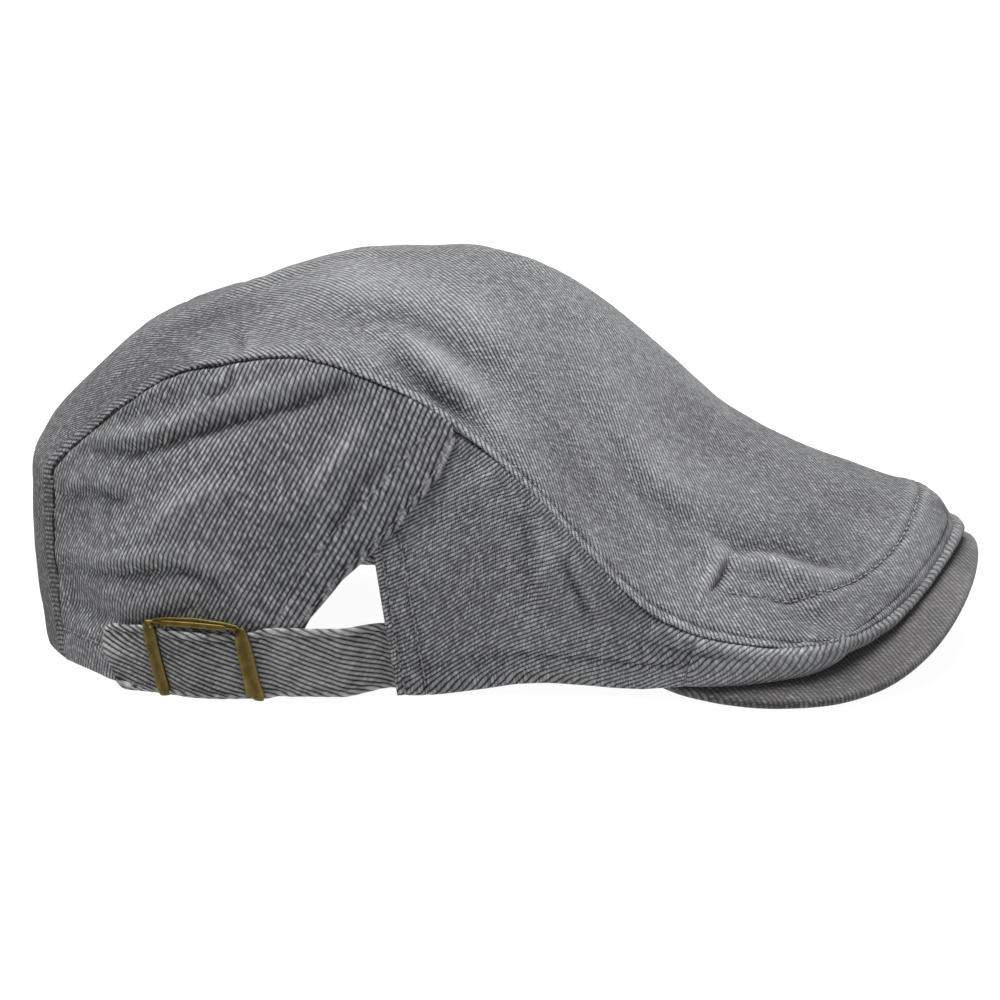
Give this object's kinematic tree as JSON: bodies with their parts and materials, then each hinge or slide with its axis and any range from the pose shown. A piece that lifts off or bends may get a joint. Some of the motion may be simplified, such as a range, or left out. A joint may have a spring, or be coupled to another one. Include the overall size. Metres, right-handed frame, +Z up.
{
  "type": "flat cap",
  "caption": "Washed twill flat cap: hollow crown with a long sloping top panel over a stiff arched brim, and a buckled adjusting strap on each side.",
  "frame": {"origin": "under the middle of the outer box, on the surface that the cap stands on", "axes": "+X towards the brim, +Y to the wearer's left, +Z up"},
  "size_m": [0.2736, 0.1848, 0.1137],
  "materials": {
    "twill": "washed grey cotton twill with pale slubs",
    "brim_cover": "the same grey twill, drawn tight over the stiff brim",
    "buckle_metal": "dark antique brass, rubbed bright on its edges"
  },
  "bodies": {
    "root": {"top_panel": "twill", "rear_side_panel_right": "twill", "rear_side_panel_left": "twill", "front_side_panel": "twill", "brim": "brim_cover", "strap_right": "twill", "strap_left": "twill", "buckle_right": "buckle_metal", "buckle_left": "buckle_metal", "strap_keeper_right": "twill", "strap_keeper_left": "twill"}
  },
  "joints": []
}
